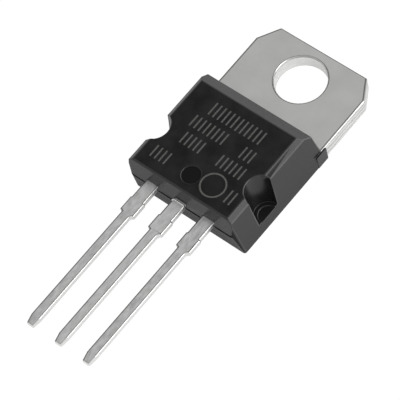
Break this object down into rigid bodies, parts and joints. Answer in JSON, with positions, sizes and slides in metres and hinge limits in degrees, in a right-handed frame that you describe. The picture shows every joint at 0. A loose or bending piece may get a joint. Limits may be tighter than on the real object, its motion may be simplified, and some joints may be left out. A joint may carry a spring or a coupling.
{
  "type": "voltage regulator",
  "caption": "Linear voltage regulator in a flat moulded power package, with a bolt-down metal tab, a mounting hole and straight through-hole leads.",
  "frame": {"origin": "centre of the mounting hole on the back face of the tab", "axes": "+X across the part, to the output lead; +Y along the part, to the far end of the tab, with the leads towards -Y; +Z out of the front face"},
  "size_m": [0.0102, 0.0292, 0.0044],
  "materials": {
    "mould_compound": "black filled epoxy moulding compound, fine matt on the front face and smoother on its drafted sides",
    "tinned_frame": "matt tin plate on rolled copper, with brighter stamped edges",
    "tinned_lead": "matt tin plate on rolled copper, with brighter stamped edges",
    "solder": "dull soft solder",
    "silicon": "polished silicon with metal pads",
    "bond_wire": "bright drawn wire"
  },
  "bodies": {
    "root": {"mould_body": "mould_compound", "heat_sink_frame": "tinned_frame", "input_lead": "tinned_lead", "output_lead": "tinned_lead", "die_attach_solder": "solder", "silicon_die": "silicon", "input_bond_wire": "bond_wire", "output_bond_wire": "bond_wire", "ground_bond_wire": "bond_wire"}
  },
  "joints": []
}
